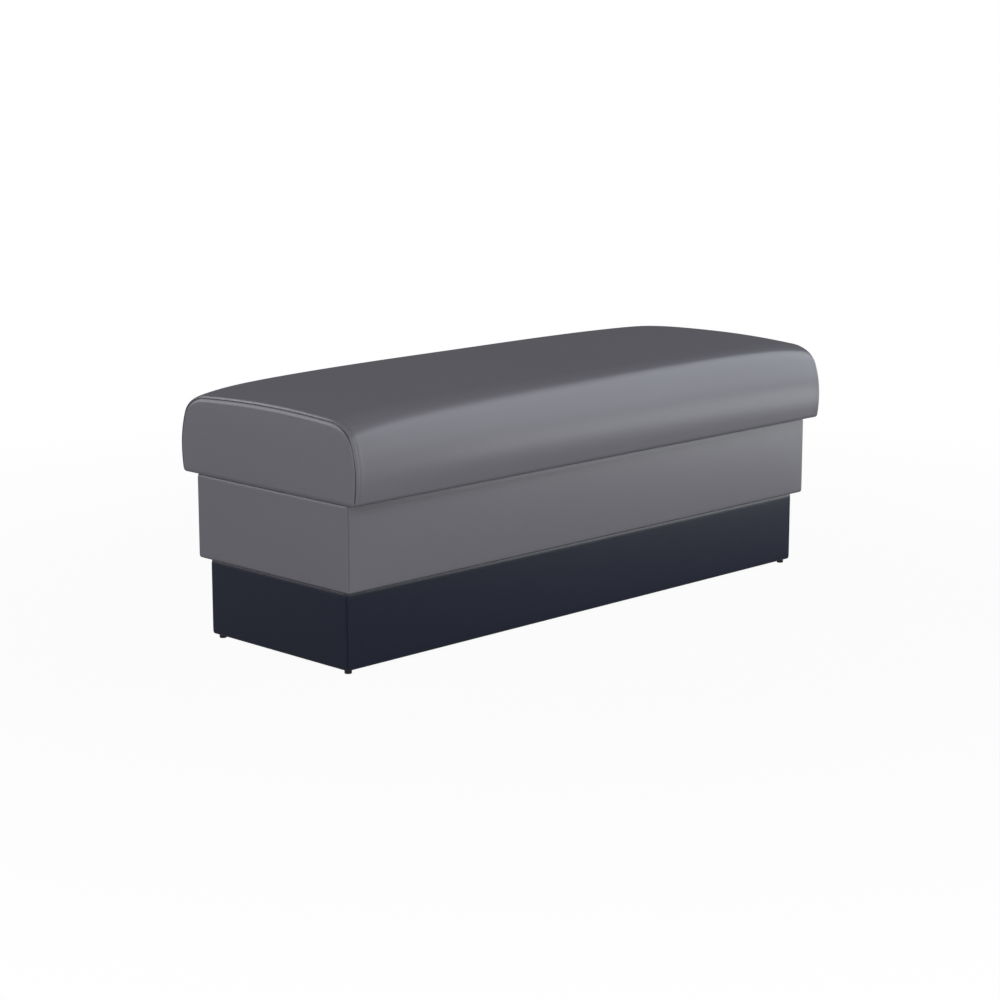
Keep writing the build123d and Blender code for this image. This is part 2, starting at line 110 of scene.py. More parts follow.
def spread(tree, value, low, high, start=0.3, end=0.7):
    # a noise value turned into the range from low to high
    node = addNode(tree, "ShaderNodeMapRange", {
        "From Min": start, "From Max": end, "To Min": low, "To Max": high})
    tree.links.new(value, node.inputs["Value"])
    return node.outputs["Result"]


def blendColours(tree, factor, first, second):
    node = addNode(tree, "ShaderNodeMix", data_type="RGBA")
    node.inputs["A"].default_value = (*first, 1)
    node.inputs["B"].default_value = (*second, 1)
    tree.links.new(factor, node.inputs["Factor"])
    return node.outputs["Result"]


def shade(colour, share):
    return tuple(part * share for part in colour)


def paint(tree, shader, pattern, finish):
    # the base colour goes from the finish's light to its dark with a pattern from 0 to 1
    tint = blendColours(tree, pattern, finish["light"], finish["dark"])
    tree.links.new(tint, shader.inputs["Base Color"])


def roughen(tree, shader, pattern, finish, start=0.3, end=0.7):
    tree.links.new(spread(tree, pattern, *finish["roughness"], start, end), shader.inputs["Roughness"])


def addBump(tree, shader, height, depth, strength=1.0, under=None):
    node = addNode(tree, "ShaderNodeBump", {"Strength": strength, "Distance": depth})
    tree.links.new(height, node.inputs["Height"])
    if under is not None:
        tree.links.new(under, node.inputs["Normal"])
    tree.links.new(node.outputs["Normal"], shader.inputs["Normal"])
    return node.outputs["Normal"]


# upholstery vinyl, embossed with a fine grain
vinylFinish = {
    "seatColour": (0.118, 0.115, 0.128),
    "plinthColour": (0.0045, 0.0068, 0.0185),
    "roughness": (0.278, 0.294),  # below 0.274 small dark marks show once the noise is taken out
    "roughScale": 34.0,
    "specular": 0.42,
    "shadeChange": 0.015,
    "shadeScale": 3.1,
    "paintedShadeShare": 0.1,  # share of the vinyl's own colour left where the shade is painted in full, in seams, turned-under edges and shadow gaps
    "seamShade": 0.85,  # how far the colour goes to that painted shade where the seam attribute is 1
    "handScale": 7.0,  # gentle hand-fitted unevenness
    "handDepth": 0.0003,
    "grainScale": 620.0,
    "grainDepth": 0.000018,
    "grainStrength": 0.8,
    "grainSoftness": 0.6,
    "wanderScale": 190.0,  # bends the grain's cells a little
    "wander": 0.0006,
    "poreScale": 2600.0,
    "poreDepth": 0.000004,
    "poreStrength": 0.5,
}


def vinylGrain(tree, place):
    grain = addNode(tree, "ShaderNodeTexVoronoi", {
        "Scale": vinylFinish["grainScale"], "Smoothness": vinylFinish["grainSoftness"]}, feature="SMOOTH_F1")
    wander = noise(tree, place, vinylFinish["wanderScale"], 3.0)
    bent = addNode(tree, "ShaderNodeMixRGB", {"Fac": vinylFinish["wander"]}, blend_type="ADD")
    tree.links.new(place, bent.inputs["Color1"])
    tree.links.new(wander, bent.inputs["Color2"])
    tree.links.new(bent.outputs["Color"], grain.inputs["Vector"])
    return grain.outputs["Distance"]


def vinyl(name, colour):
    material, tree, shader = startMaterial(name)
    place = objectPlace(tree)
    finish = vinylFinish
    change = finish["shadeChange"]
    broad = spread(tree, noise(tree, place, finish["shadeScale"], 4.0), 0, 1)
    tint = blendColours(tree, broad, shade(colour, 1 - change), shade(colour, 1 + change))
    # painted shade: darker down in the seams, at the turned-under edges and in the gaps between tiers, as
    # their attribute says
    seamAndPaintedShade = addNode(tree, "ShaderNodeAttribute", attribute_name="seamAndPaintedShade")
    depth = spread(tree, seamAndPaintedShade.outputs["Fac"], 0, finish["seamShade"], 0, 1)
    paintedShadeColour = (*shade(colour, finish["paintedShadeShare"]), 1)
    dark = addNode(tree, "ShaderNodeMix", {"B": paintedShadeColour}, data_type="RGBA")
    tree.links.new(depth, dark.inputs["Factor"])
    tree.links.new(tint, dark.inputs["A"])
    tree.links.new(dark.outputs["Result"], shader.inputs["Base Color"])
    roughen(tree, shader, noise(tree, place, finish["roughScale"], 5.0), finish)
    shader.inputs["Specular IOR Level"].default_value = finish["specular"]
    under = addBump(tree, shader, noise(tree, place, finish["handScale"], 2.0), finish["handDepth"])
    grain = vinylGrain(tree, place)
    under = addBump(tree, shader, grain, finish["grainDepth"], finish["grainStrength"], under)
    pores = noise(tree, place, finish["poreScale"], 2.0)
    addBump(tree, shader, pores, finish["poreDepth"], finish["poreStrength"], under)
    return material


# plywood and solid timber, which don't show
woodFinish = {
    "plyLight": (0.62, 0.45, 0.27),
    "plyDark": (0.47, 0.31, 0.17),
    "timberLight": (0.68, 0.51, 0.31),
    "timberDark": (0.53, 0.35, 0.18),
    "grainStretch": (1.5, 26.0, 26.0),
    "rings": {"Scale": 2.2, "Distortion": 9.0, "Detail": 3.0, "Detail Scale": 1.4},
    "fibreScale": 60.0,
    "fibreDepth": 0.0003,
    "roughness": (0.55, 0.75),
}


def wood(name, light, dark, alongX):
    material, tree, shader = startMaterial(name)
    turn = (0, 0, 0) if alongX else (0, 0, math.radians(90))
    place = objectPlace(tree, woodFinish["grainStretch"], turn)
    rings = addNode(tree, "ShaderNodeTexWave", woodFinish["rings"], wave_type="RINGS", rings_direction="X")
    tree.links.new(place, rings.inputs["Vector"])
    paint(tree, shader, rings.outputs["Fac"], {"light": light, "dark": dark})
    fibre = noise(tree, place, woodFinish["fibreScale"], 5.0)
    roughen(tree, shader, fibre, woodFinish)
    addBump(tree, shader, fibre, woodFinish["fibreDepth"], 0.7)
    return material


foamFinish = {
    "light": (0.80, 0.74, 0.56), "dark": (0.66, 0.58, 0.38), "roughness": (0.85, 1.0),
    "cloudScale": 12.0, "cellScale": 900.0, "cellDepth": 0.0004,
}


def foam(name):
    material, tree, shader = startMaterial(name)
    place = objectPlace(tree)
    cells = addNode(tree, "ShaderNodeTexVoronoi", {"Scale": foamFinish["cellScale"]}, feature="F1")
    tree.links.new(place, cells.inputs["Vector"])
    paint(tree, shader, noise(tree, place, foamFinish["cloudScale"], 4.0), foamFinish)
    roughen(tree, shader, cells.outputs["Distance"], foamFinish, 0, 1)
    addBump(tree, shader, cells.outputs["Distance"], foamFinish["cellDepth"], 0.8)
    return material


waddingFinish = {
    "light": (0.88, 0.88, 0.86), "dark": (0.74, 0.74, 0.72), "roughness": (0.9, 1.0), "sheen": 0.3,
    "fibreScale": 45.0, "fibreDepth": 0.0012,
}


def wadding(name):
    material, tree, shader = startMaterial(name)
    place = objectPlace(tree, (3, 1, 1))
    fibre = noise(tree, place, waddingFinish["fibreScale"], 8.0, 0.7)
    paint(tree, shader, spread(tree, fibre, 0, 1), waddingFinish)
    roughen(tree, shader, fibre, waddingFinish)
    shader.inputs["Sheen Weight"].default_value = waddingFinish["sheen"]
    addBump(tree, shader, fibre, waddingFinish["fibreDepth"], 0.8)
    return material


steelFinish = {
    "light": (0.60, 0.60, 0.58), "dark": (0.48, 0.48, 0.46), "roughness": (0.24, 0.42),
    "spangleScale": 260.0, "pitScale": 1500.0, "pitDepth": 0.00002,
}


def platedSteel(name):
    material, tree, shader = startMaterial(name)
    place = objectPlace(tree)
    spangle = noise(tree, place, steelFinish["spangleScale"], 4.0)
    paint(tree, shader, spread(tree, spangle, 0, 1), steelFinish)
    roughen(tree, shader, spangle, steelFinish)
    shader.inputs["Metallic"].default_value = 1.0
    addBump(tree, shader, noise(tree, place, steelFinish["pitScale"], 3.0), steelFinish["pitDepth"], 0.5)
    return material


nylonFinish = {
    "light": (0.014, 0.014, 0.016), "dark": (0.008, 0.008, 0.009), "roughness": (0.2, 0.3),
    "cloudScale": 120.0, "pitScale": 900.0, "pitDepth": 0.00003,
}


def mouldedNylon(name):
    material, tree, shader = startMaterial(name)
    place = objectPlace(tree)
    cloud = noise(tree, place, nylonFinish["cloudScale"], 4.0)
    paint(tree, shader, spread(tree, cloud, 0, 1), nylonFinish)
    roughen(tree, shader, cloud, nylonFinish)
    addBump(tree, shader, noise(tree, place, nylonFinish["pitScale"], 2.0), nylonFinish["pitDepth"], 0.4)
    return material


clothFinish = {
    "light": (0.022, 0.022, 0.024), "dark": (0.010, 0.010, 0.011), "roughness": (0.6, 0.9), "sheen": 0.2,
    "fibreScale": 500.0, "fibreDepth": 0.0001, "dotScale": 420.0, "dotDepth": 0.0002,
}


def pressedCloth(name):
    # spun cloth with its embossed dots
    material, tree, shader = startMaterial(name)
    place = objectPlace(tree)
    pattern = {"Scale": clothFinish["dotScale"], "Randomness": 0.25}
    dots = addNode(tree, "ShaderNodeTexVoronoi", pattern, feature="F1")
    tree.links.new(place, dots.inputs["Vector"])
    fibre = noise(tree, place, clothFinish["fibreScale"], 6.0, 0.7)
    paint(tree, shader, spread(tree, fibre, 0, 1), clothFinish)
    roughen(tree, shader, dots.outputs["Distance"], clothFinish, 0, 0.8)
    shader.inputs["Sheen Weight"].default_value = clothFinish["sheen"]
    under = addBump(tree, shader, fibre, clothFinish["fibreDepth"], 0.6)
    addBump(tree, shader, dots.outputs["Distance"], clothFinish["dotDepth"], 0.7, under)
    return material


threadFinish = {
    "light": (0.085, 0.083, 0.092), "dark": (0.05, 0.049, 0.055), "roughness": (0.45, 0.6),
    "twistScale": 3000.0, "twistDepth": 0.0001,
}


def sewingThread(name):
    material, tree, shader = startMaterial(name)
    place = objectPlace(tree)
    twist = noise(tree, place, threadFinish["twistScale"], 3.0)
    paint(tree, shader, spread(tree, twist, 0, 1), threadFinish)
    roughen(tree, shader, twist, threadFinish)
    addBump(tree, shader, twist, threadFinish["twistDepth"], 0.6)
    return material


finishes = {
    "seat_vinyl": vinyl("seatVinyl", vinylFinish["seatColour"]),
    "box_vinyl": vinyl("boxVinyl", vinylFinish["seatColour"]),
    "plinth_vinyl": vinyl("plinthVinyl", vinylFinish["plinthColour"]),
    "dust_cloth": pressedCloth("dustCloth"),
    "foam": foam("openCellFoam"),
    "wadding": wadding("fibreWadding"),
    "plywood": wood("plywoodAlong", woodFinish["plyLight"], woodFinish["plyDark"], True),
    "plywoodAcross": wood("plywoodAcross", woodFinish["plyLight"], woodFinish["plyDark"], False),
    "timber": wood("timberAlong", woodFinish["timberLight"], woodFinish["timberDark"], True),
    "timberAcross": wood("timberAcross", woodFinish["timberLight"], woodFinish["timberDark"], False),
    "plated_steel": platedSteel("platedSteel"),
    "glide_nylon": mouldedNylon("mouldedNylon"),
}
threadMaterial = sewingThread("seamThread")
print("finishes made:", len(finishes) + 1)


def finishFrame():
    # every CAD node takes the finish of its slot, with wood grain along its length
    slotOf = {part["node"]: part["material_slot"] for part in frame["record"]["subparts"]}
    for name, node in frame["nodes"].items():
        slotName = slotOf[name]
        low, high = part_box(name)
        size = high - low
        if slotName in ("plywood", "timber") and size.y > size.x:
            slotName += "Across"
        for materialSlot in node.material_slots:
            materialSlot.material = finishes[slotName]


finishFrame()
print("frame finished")


def finishPiece(bm, name, material, nodes):
    # a mesh object at the origin, smooth, riding on the bench in place of its CAD nodes
    mesh = bpy.data.meshes.new(name)
    for face in bm.faces:
        face.smooth = True
    bm.to_mesh(mesh)
    bm.free()
    mesh.materials.append(material)
    piece = bpy.data.objects.new(name, mesh)
    bpy.context.scene.collection.objects.link(piece)
    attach(piece, "bench")
    if nodes:
        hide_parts(*nodes)
    return piece


def smoothStep(value):
    value = min(1.0, max(0.0, value))
    return value * value * (3 - 2 * value)


# the seat cushion: one ring drawn to the end profile, then extruded along the bench
seatShape = {
    "bulgeDepth": 0.4578,
    "drawIn": 0.0046,
    "bulgeHeight": 0.0442,
    "lowEdge": 0.007,
    "sideArcs": ((0.168, 20.3, 7), (0.0448, 61.0, 13), (0.0746, 86.0, 9)),
    "crown": 0.0224,
    "crownPower": 3.54,
    "crownRoot": 0.485,
    "undersideSteps": 7,
    "lowEdgeSteps": 5,
    "flankSteps": 6,
    "topSteps": 15,
    "firstStep": 0.0035,  # rows go on from the seam in steps that widen to the widest
    "stepGrowth": 1.22,
    "widestStep": 0.014,
    "looseFrom": 0.004,  # the skin is held as far in as this, and comes free over the reach
    "looseReach": 0.06,
    "looseGrowth": 2.5,
    "endTuck": 0.0009,  # how far the end panel turns in at its low edge
    "tuckHeight": 0.009,
    "tuckReach": 0.02,
    "lowRollShare": 0.35,  # how much of the end panel's roll is left at its low edge
    "sewnFrom": 0.008,  # height above the low edge where the sewing shows in full
    "lowShade": 0.3,  # painted shade where the skin turns under at the low edge
}

# each row along the bench: distance in from the end face, how far the end panel's soft roll draws the
# skin in there, how far the sewing does, and how much painted shade the row takes in the seam's groove
# or crease, from 0 to 1: first the panel's roll, then the seam's groove, then the topstitched crease
seamRows = [
    (-0.00092, 0.01300, 0.0, 0), (-0.00088, 0.01000, 0.0, 0), (-0.00080, 0.00800, 0.0, 0),
    (-0.00068, 0.00650, 0.0, 0), (-0.00050, 0.00540, 0.0, 0), (-0.00026, 0.00460, 0.0, 0),
    (0.00004, 0.00400, 0.0, 0), (0.00038, 0.00350, 0.0, 0.25), (0.00078, 0.00306, 0.0, 0.9),
    (0.00105, 0.00280, 0.0, 1), (0.00114, 0.00250, 0.0, 1), (0.00112, 0.00220, 0.0, 1),
    (0.00104, 0.00188, 0.0, 1), (0.00094, 0.00152, 0.0, 0.9), (0.00090, 0.00110, 0.0, 0.5),
    (0.00094, 0.00070, 0.0, 0.2), (0.00106, 0.00034, 0.0, 0), (0.00128, 0.00010, 0.0, 0),
    (0.00162, 0.0, 0.00001, 0), (0.00220, 0.0, -0.00008, 0), (0.00310, 0.0, -0.00018, 0),
    (0.00450, 0.0, -0.00026, 0), (0.00620, 0.0, -0.00026, 0), (0.00790, 0.0, -0.00020, 0),
    (0.00880, 0.0, -0.00013, 0.1), (0.00930, 0.0, -0.00010, 0.2), (0.00980, 0.0, -0.00013, 0.1),
    (0.01080, 0.0, -0.00019, 0), (0.01280, 0.0, -0.00020, 0), (0.01600, 0.0, -0.00010, 0),
]
creaseRow = 25

# the end panel's rings, as shares of its size
panelShares = [0.985, 0.965, 0.94, 0.90, 0.84, 0.76, 0.66, 0.54, 0.42, 0.30, 0.18, 0.08, 0.02]


def sweep(radius, centre, start, end, steps):
    # points on an arc after its start, angles turned up from level
    points = []
    for step in range(1, steps + 1):
        angle = math.radians(start + (end - start) * step / steps)
        points.append((centre[0] + radius * math.cos(angle), centre[1] + radius * math.sin(angle)))
    return points


def halfSection():
    # from the middle of the underside round the side to the middle of the top
    shape = seatShape
    rise, drawIn, edge = shape["bulgeHeight"], shape["drawIn"], shape["lowEdge"]
    flank = (rise ** 2 + drawIn ** 2) / (2 * drawIn)
    centre = (shape["bulgeDepth"] / 2 - flank, rise)
    first = -math.degrees(math.asin((rise - edge) / flank))
    sideStart = centre[0] + flank * math.cos(math.radians(first))
    under = sideStart - edge
    points = [(under * step / shape["undersideSteps"], 0.0) for step in range(shape["undersideSteps"] + 1)]
    points += sweep(edge, (under, edge), -90, 0, shape["lowEdgeSteps"])
    points += sweep(flank, centre, first, 0, shape["flankSteps"])
    turn = 0.0
    for radius, nextTurn, steps in shape["sideArcs"]:
        here = math.radians(turn)
        middle = (points[-1][0] - radius * math.cos(here), points[-1][1] - radius * math.sin(here))
        points += sweep(radius, middle, turn, nextTurn, steps)
        turn = nextTurn
    topRadius = points[-1][0] / math.cos(math.radians(turn))
    topCentre = (0.0, points[-1][1] - topRadius * math.sin(math.radians(turn)))
    points += sweep(topRadius, topCentre, turn, 90, shape["topSteps"])
    return points


def wholeSection():
    half = halfSection()
    back = [(-y, z) for y, z in reversed(half[1:-1])]
    ring = half + back
    count = len(ring)
    normals = []
    for index in range(count):
        before, after = ring[index - 1], ring[(index + 1) % count]
        run = Vector((after[0] - before[0], after[1] - before[1])).normalized()
        normals.append((run.y, -run.x))
    return ring, normals, half[-1][1]


def seatStations(half):
    # rows at the seam, then ever wider steps to the middle of the seat
    rows = list(seamRows)
    step = seatShape["firstStep"]
    place = rows[-1][0] + step
    while place < half - step * 0.6:
        rows.append((place, 0.0, 0.0, 0))
        step = min(step * seatShape["stepGrowth"], seatShape["widestStep"])
        place += step
    return rows


def crownLift(inward, half, endHeight):
    share = min(1.0, max(0.0, 1 - inward / half))
    fade = (1 - share ** seatShape["crownPower"]) ** seatShape["crownRoot"]
    return 1 + fade * seatShape["crown"] / endHeight


def tuckUnder(height, inward):
    # how far the end turns in near its low edge, fading along the bench
    below = max(0.0, 1 - max(0.0, height) / seatShape["tuckHeight"])
    return seatShape["endTuck"] * below ** 2 * (1 - smoothStep(inward / seatShape["tuckReach"]))


def layRing(bm, ringVerts, section, size, row, side, share=1.0):
    ring, normals, endHeight = section
    low, half = size
    inward, roll, sewn, seamAndPaintedShade = row
    placeLayer = bm.verts.layers.int["placeInRing"]
    looseLayer = bm.verts.layers.float["loose"]
    paintedShadeLayer = bm.verts.layers.float["seamAndPaintedShade"]
    lift = crownLift(inward, half, endHeight)
    middle = endHeight / 2
    loose = smoothStep((inward - seatShape["looseFrom"]) / seatShape["looseReach"])
    if share < 1:
        loose = smoothStep((1 - share) * seatShape["looseGrowth"])
    for vert in ringVerts:
        (y, z), (acrossY, acrossZ) = ring[vert[placeLayer]], normals[vert[placeLayer]]
        shown = smoothStep(z / seatShape["sewnFrom"])
        rolled = roll * (seatShape["lowRollShare"] + (1 - seatShape["lowRollShare"]) * shown)
        drawn = rolled + sewn * shown
        height = middle + ((z - acrossZ * rolled) * lift - middle) * share
        y = (y - acrossY * drawn) * share
        z = middle + ((z - acrossZ * drawn) * lift - middle) * share
        vert.co = (side * (half - inward - tuckUnder(height, inward)), y, low + z)
        vert[looseLayer] = loose
        # painted shade: the seam rows and the turned-under low edge are darkened through the attribute
        under = max(0.0, 1 - max(0.0, z) / seatShape["lowEdge"])
        vert[paintedShadeLayer] = max(seamAndPaintedShade * shown, seatShape["lowShade"] * under)


def pullRing(bm, edges):
    made = bmesh.ops.extrude_edge_only(bm, edges=edges)["geom"]
    newVerts = [item for item in made if isinstance(item, bmesh.types.BMVert)]
    newEdges = [item for item in made if isinstance(item, bmesh.types.BMEdge)]
    return newVerts, newEdges


def buildSeat(low, high, sewing):
    # with sewing 0 it is the plain filled form, point for point
    section = wholeSection()
    size = (low.z, high.x)
    rows = [(inward, roll * sewing, sewn * sewing, seamAndPaintedShade)
            for inward, roll, sewn, seamAndPaintedShade in seatStations(high.x)]
    stations = [(row, -1) for row in rows]
    stations += [((high.x, 0.0, 0.0, 0), 1)] + [(row, 1) for row in reversed(rows)]
    bm = bmesh.new()
    placeLayer = bm.verts.layers.int.new("placeInRing")
    rowLayer = bm.verts.layers.int.new("row")
    bm.verts.layers.float.new("loose")
    bm.verts.layers.float.new("seamAndPaintedShade")
    verts = bmesh.ops.create_circle(bm, segments=len(section[0]), radius=1)["verts"]
    for index, vert in enumerate(verts):
        vert[placeLayer] = index
    firstEdges = bm.edges[:]
    edges = firstEdges
    layRing(bm, verts, section, size, *stations[0])
    for number, station in enumerate(stations[1:], 1):
        newVerts, edges = pullRing(bm, edges)
        layRing(bm, newVerts, section, size, *station)
        for vert in newVerts:
            vert[rowLayer] = min(number, len(stations) - 1 - number)
    for loop, side in ((firstEdges, -1), (edges, 1)):
        for share in panelShares:
            newVerts, loop = pullRing(bm, loop)
            layRing(bm, newVerts, section, size, rows[0], side, share)
            for vert in newVerts:
                vert[rowLayer] = -1
        bmesh.ops.edgeloop_fill(bm, edges=loop)
    bmesh.ops.recalc_face_normals(bm, faces=bm.faces[:])
    return bm


# the cloth simulation: the filled cover is blown up a little, and its swelling is kept
swelling = {
    "shrink": 0.002,
    "voxel": 0.008,
    "frames": 20,
    "cap": 0.0025,
    "smoothing": 40,
    "holdBelow": 0.012,
    "endShare": 0.7,  # how much of its swelling an end panel keeps beside its soft roll
    "endPower": 2.4,
    "looseAbove": 0.04,  # height over which the skin comes free of the seat board
}
clothSettings = {
    "quality": 6,
    "mass": 0.4,
    "tension_stiffness": 40,
    "compression_stiffness": 40,
    "shear_stiffness": 20,
    "bending_stiffness": 4,
    "use_pressure": True,
    "uniform_pressure_force": 4.0,
    "vertex_group_mass": "held",
}


def simulateSwelling(plain, low):
    scene = bpy.context.scene
    start = plain.copy()
    start.normal_update()
    for vert in start.verts:
        vert.co -= vert.normal * swelling["shrink"]
    mesh = bpy.data.meshes.new("seatInflate")
    start.to_mesh(mesh)
    start.free()
    body = bpy.data.objects.new("seatInflate", mesh)
    scene.collection.objects.link(body)
    remesh = body.modifiers.new("even mesh", "REMESH")
    remesh.mode = "VOXEL"
    remesh.voxel_size = swelling["voxel"]
    graph = bpy.context.evaluated_depsgraph_get()
    even = bpy.data.meshes.new_from_object(body.evaluated_get(graph))
    body.modifiers.clear()
    body.data = even
    held = body.vertex_groups.new(name="held")
    heldTop = low.z + swelling["holdBelow"]
    held.add([vert.index for vert in even.vertices if vert.co.z < heldTop], 1.0, "REPLACE")
    cloth = body.modifiers.new("cover", "CLOTH")
    for key, value in clothSettings.items():
        setattr(cloth.settings, key, value)
    cloth.settings.effector_weights.gravity = 0
    cloth.point_cache.frame_start = 1
    cloth.point_cache.frame_end = swelling["frames"]
    for number in range(1, swelling["frames"] + 1):
        scene.frame_set(number)
    graph = bpy.context.evaluated_depsgraph_get()
    blown = bpy.data.meshes.new_from_object(body.evaluated_get(graph))
    surface = BVHTree.FromPolygons(
        [vert.co.copy() for vert in blown.vertices], [tuple(face.vertices) for face in blown.polygons])
    bpy.data.objects.remove(body)
    scene.frame_set(1)
    return surface


def measureSwelling(plain, surface):
    # how far the blown-up cover stands off the plain form, within the cap and evened out
    plain.verts.index_update()
    moves = []
    for vert in plain.verts:
        nearest = surface.find_nearest(vert.co)[0]
        moves.append((nearest - vert.co).dot(vert.normal))
    print("swelling before the cap, mm:", round(min(moves) * 1000, 2), "to", round(max(moves) * 1000, 2))
    cap = swelling["cap"]
    moves = [min(cap, max(0.0, move)) for move in moves]
    neighbours = [[edge.other_vert(vert).index for edge in vert.link_edges] for vert in plain.verts]
    for turn in range(swelling["smoothing"]):
        moves = [0.5 * moves[index] + 0.5 * sum(moves[near] for near in nears) / len(nears)
                 for index, nears in enumerate(neighbours)]
    return moves


def domeShare(place, middle, half):
    # 1 in the middle of an end panel, falling evenly to 0 at its rim
    across = abs(place.y) / (seatShape["bulgeDepth"] / 2)
    up = abs(place.z - middle) / half
    power = swelling["endPower"]
    return max(0.0, 1 - across ** power) * max(0.0, 1 - up ** power)


def swellSeat(bm, low, high):
    # the filled form is blown up without its sewing, then the sewn skin takes its swelling: none at
    # the seams and on the underside, all of it in the middle of the long panel, and on the end panels
    # a share of their mean swelling as an even dome
    plain = buildSeat(low, high, 0)
    plain.normal_update()
    moves = measureSwelling(plain, simulateSwelling(plain, low))
    looseLayer = bm.verts.layers.float["loose"]
    rowLayer = bm.verts.layers.int["row"]
    inPanel = [move for vert, move in zip(bm.verts, moves)
               if vert[rowLayer] < 0 and vert[looseLayer] > 0.99]
    endSwell = swelling["endShare"] * sum(inPanel) / len(inPanel)
    print("end panels swell, mm:", round(endSwell * 1000, 2))
    half = wholeSection()[2] / 2
    for vert, plainVert, move in zip(bm.verts, plain.verts, moves):
        if vert[rowLayer] < 0:
            side = math.copysign(1, plainVert.co.x)
            vert.co.x += side * endSwell * domeShare(plainVert.co, low.z + half, half)
            continue
        above = smoothStep((plainVert.co.z - low.z) / swelling["looseAbove"])
        vert.co += plainVert.normal * move * above * vert[looseLayer]
    plain.free()


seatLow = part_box("seat_main_cover")[0]
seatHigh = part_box("seat_right_end_cover")[1]
seatMesh = buildSeat(seatLow, seatHigh, 1)
print("seat drawn:", len(seatMesh.faces), "faces")
swellSeat(seatMesh, seatLow, seatHigh)
print("seat swelled by cloth simulation")


# topstitches in the crease beside each end seam
stitchShape = {"pitch": 0.0056, "length": 0.0038, "width": 0.00055, "height": 0.0004}


def creasePath(bm, side):
    # the crease row's points from the low front edge over the top to the low back edge
    rowLayer = bm.verts.layers.int["row"]
    placeLayer = bm.verts.layers.int["placeInRing"]
    row = [vert for vert in bm.verts if vert[rowLayer] == creaseRow and vert.co.x * side > 0]
    row.sort(key=lambda vert: vert[placeLayer])
    skip = seatShape["undersideSteps"] + seatShape["lowEdgeSteps"] - 1
    row = row[skip:len(row) - skip + 1]
    return [(vert.co.copy(), vert.normal.copy()) for vert in row]


def layStitches(bm, path):
    travelled, nextPlace = 0.0, stitchShape["pitch"] / 2
    for (start, startNormal), (end, endNormal) in zip(path, path[1:]):
        run = (end - start).length
        along = (end - start).normalized()
        while nextPlace <= travelled + run:
            share = (nextPlace - travelled) / run
            normal = startNormal.lerp(endNormal, share).normalized()
            across = normal.cross(along).normalized()
            made = bmesh.ops.create_uvsphere(bm, u_segments=7, v_segments=5, radius=0.5)["verts"]
            size = Matrix.Diagonal((stitchShape["length"], stitchShape["width"], stitchShape["height"], 1))
            turn = Matrix((along, across, normal)).transposed().to_4x4()
            spot = Matrix.Translation(start.lerp(end, share))
            bmesh.ops.transform(bm, matrix=spot @ turn @ size, verts=made)
            nextPlace += stitchShape["pitch"]
        travelled += run


seatMesh.normal_update()
stitches = bmesh.new()
for side in (-1, 1):
    layStitches(stitches, creasePath(seatMesh, side))
bmesh.ops.recalc_face_normals(stitches, faces=stitches.faces[:])
finishPiece(stitches, "seatTopstitches", threadMaterial, ())
seatCushion = finishPiece(
    seatMesh, "seatCushion", finishes["seat_vinyl"],
    ("seat_main_cover", "seat_left_end_cover", "seat_right_end_cover"))
print("seat cushion and topstitches made")


# the upholstered tiers: a block with rolled edges, sewn at its corners and slightly crowned
# seamShade, topShade and lowShade paint shade: into the corner seams, and along the rims for the shadow gaps
# between tiers
boxTier = {
    "name": "box", "edge": 0.005, "edgeSteps": 5, "cornerSteps": 20, "seamDepth": 0.0014, "seamTurn": 12.0,
    "seamShade": 0.3, "proud": 0.0006, "crown": 0.0006, "crownReach": 0.05, "edgeDraw": 0.0017,
    "lowEdgeDraw": 0.0005, "edgeReach": 0.0105, "pitch": 0.03, "topShade": 0.0, "lowShade": 1.7,
    "shadeReach": 0.0026,
}
plinthTier = {
    "name": "plinth", "edge": 0.004, "edgeSteps": 5, "cornerSteps": 20, "seamDepth": 0.0014, "seamTurn": 13.0,
    "seamShade": 0.4, "proud": 0.0006, "crown": 0.0004, "crownReach": 0.04, "edgeDraw": 0.0017,
    "lowEdgeDraw": 0.0010, "edgeReach": 0.0110, "pitch": 0.03, "topShade": 1.6, "lowShade": 0.0,
    "shadeReach": 0.0062,
}
nearEdgeShares = (0.0, 0.12, 0.26, 0.44, 0.7, 1.0)


def cutPlaces(tier, low, high):
    # close together beside the edges, wide apart between them
    first = tier["edge"] * 1.05
    last = tier["crownReach"] * 0.7
    near = [first + (last - first) * share for share in nearEdgeShares]
    count = max(1, round((high - low - 2 * last) / tier["pitch"]))
    between = [low + last + (high - low - 2 * last) * step / count for step in range(1, count)]
    return [low + place for place in near] + between + [high - place for place in reversed(near)]


def cutAcross(bm, axis, places):
    for place in places:
        point, normal = Vector((0, 0, 0)), Vector((0, 0, 0))
        point[axis] = place
        normal[axis] = 1
        everything = bm.verts[:] + bm.edges[:] + bm.faces[:]
        bmesh.ops.bisect_plane(bm, geom=everything, plane_co=point, plane_no=normal)


def same(first, second):
    return abs(first - second) < 1e-6


def isUpright(edge):
    first, second = (vert.co for vert in edge.verts)
    return same(first.x, second.x) and same(first.y, second.y)


def isRim(edge, low, high):
    heights = [vert.co.z for vert in edge.verts]
    return all(same(z, low.z) for z in heights) or all(same(z, high.z) for z in heights)


